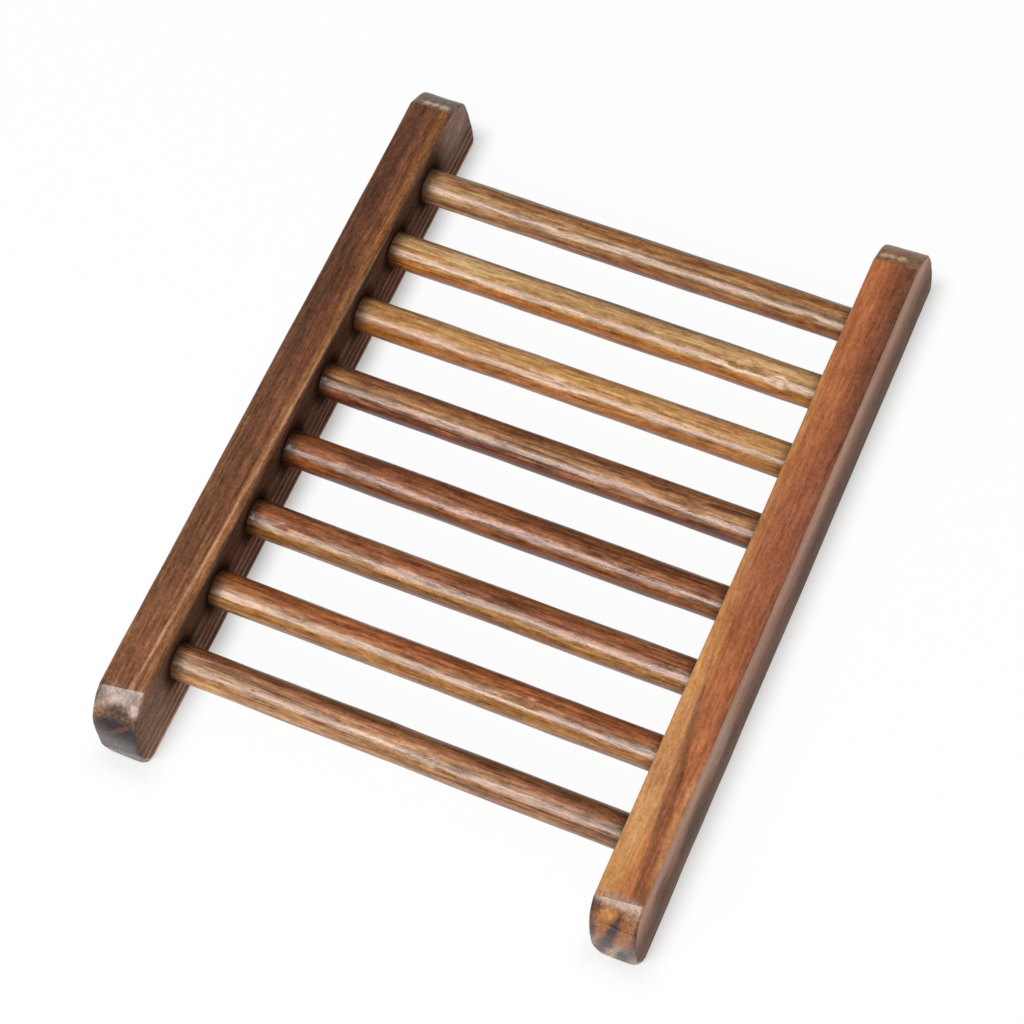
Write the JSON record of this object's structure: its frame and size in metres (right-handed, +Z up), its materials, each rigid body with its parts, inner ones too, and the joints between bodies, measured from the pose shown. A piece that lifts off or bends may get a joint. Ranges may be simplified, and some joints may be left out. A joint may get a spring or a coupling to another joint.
{
  "type": "soap dish",
  "caption": "Slatted wooden soap dish: two side rails with rounded ends joined by round cross dowels that hold a bar of soap clear of the water.",
  "frame": {"origin": "middle of the dish on the surface that it stands on", "axes": "+X across the dish along the dowels, towards the right rail; +Y along the rails, towards the rear; +Z up"},
  "size_m": [0.085, 0.12, 0.016],
  "materials": {
    "rail_wood": "stained pine, semi-gloss clear varnish",
    "dowel_wood": "stained turned pine, semi-gloss clear varnish",
    "wood_glue": "set white wood glue"
  },
  "bodies": {
    "root": {"left_rail": "rail_wood", "right_rail": "rail_wood", "dowel_1": "dowel_wood", "dowel_2": "dowel_wood", "dowel_3": "dowel_wood", "dowel_4": "dowel_wood", "dowel_5": "dowel_wood", "dowel_6": "dowel_wood", "dowel_7": "dowel_wood", "dowel_8": "dowel_wood", "left_socket_glue": "wood_glue", "right_socket_glue": "wood_glue"}
  },
  "joints": []
}
